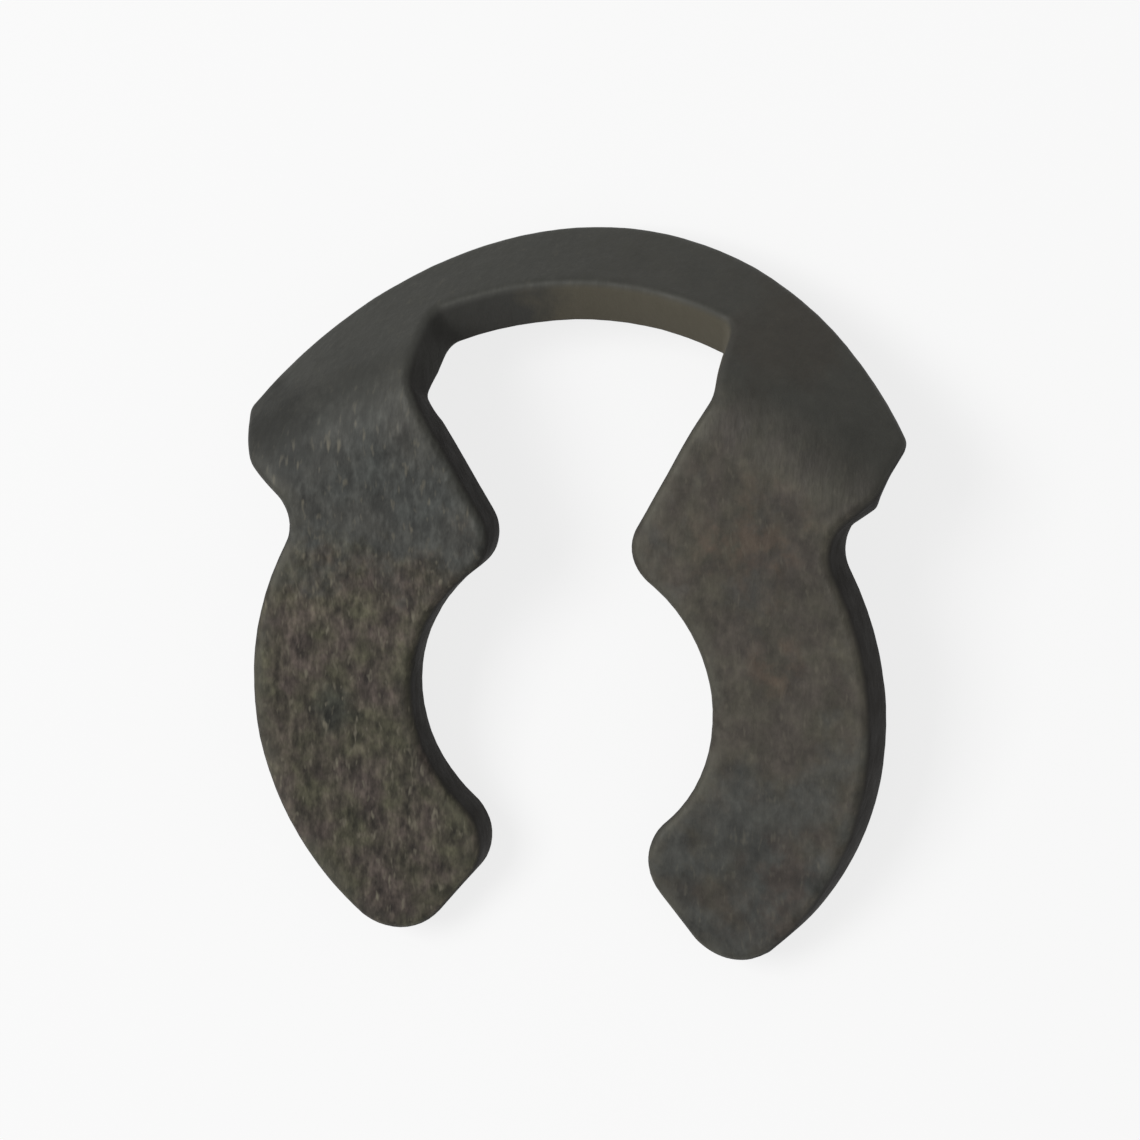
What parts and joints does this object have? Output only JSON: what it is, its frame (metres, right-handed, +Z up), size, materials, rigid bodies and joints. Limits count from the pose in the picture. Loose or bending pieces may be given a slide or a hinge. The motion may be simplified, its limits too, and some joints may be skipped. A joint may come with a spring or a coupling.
{
  "type": "retaining clip",
  "caption": "Stamped spring-steel retaining clip whose two arms snap round a pin's groove, joined by a folded-back bridge.",
  "frame": {"origin": "centre of the seat that grips the pin, midway through the sheet", "axes": "+Z up as the clip lies on its bridge's crest and two arm tips, +X across the arms, +Y from the mouth towards the bridge"},
  "size_m": [0.0208, 0.0221, 0.0054],
  "materials": {
    "spring_steel": "matte"
  },
  "bodies": {
    "root": {"clip": "spring_steel"}
  },
  "joints": []
}
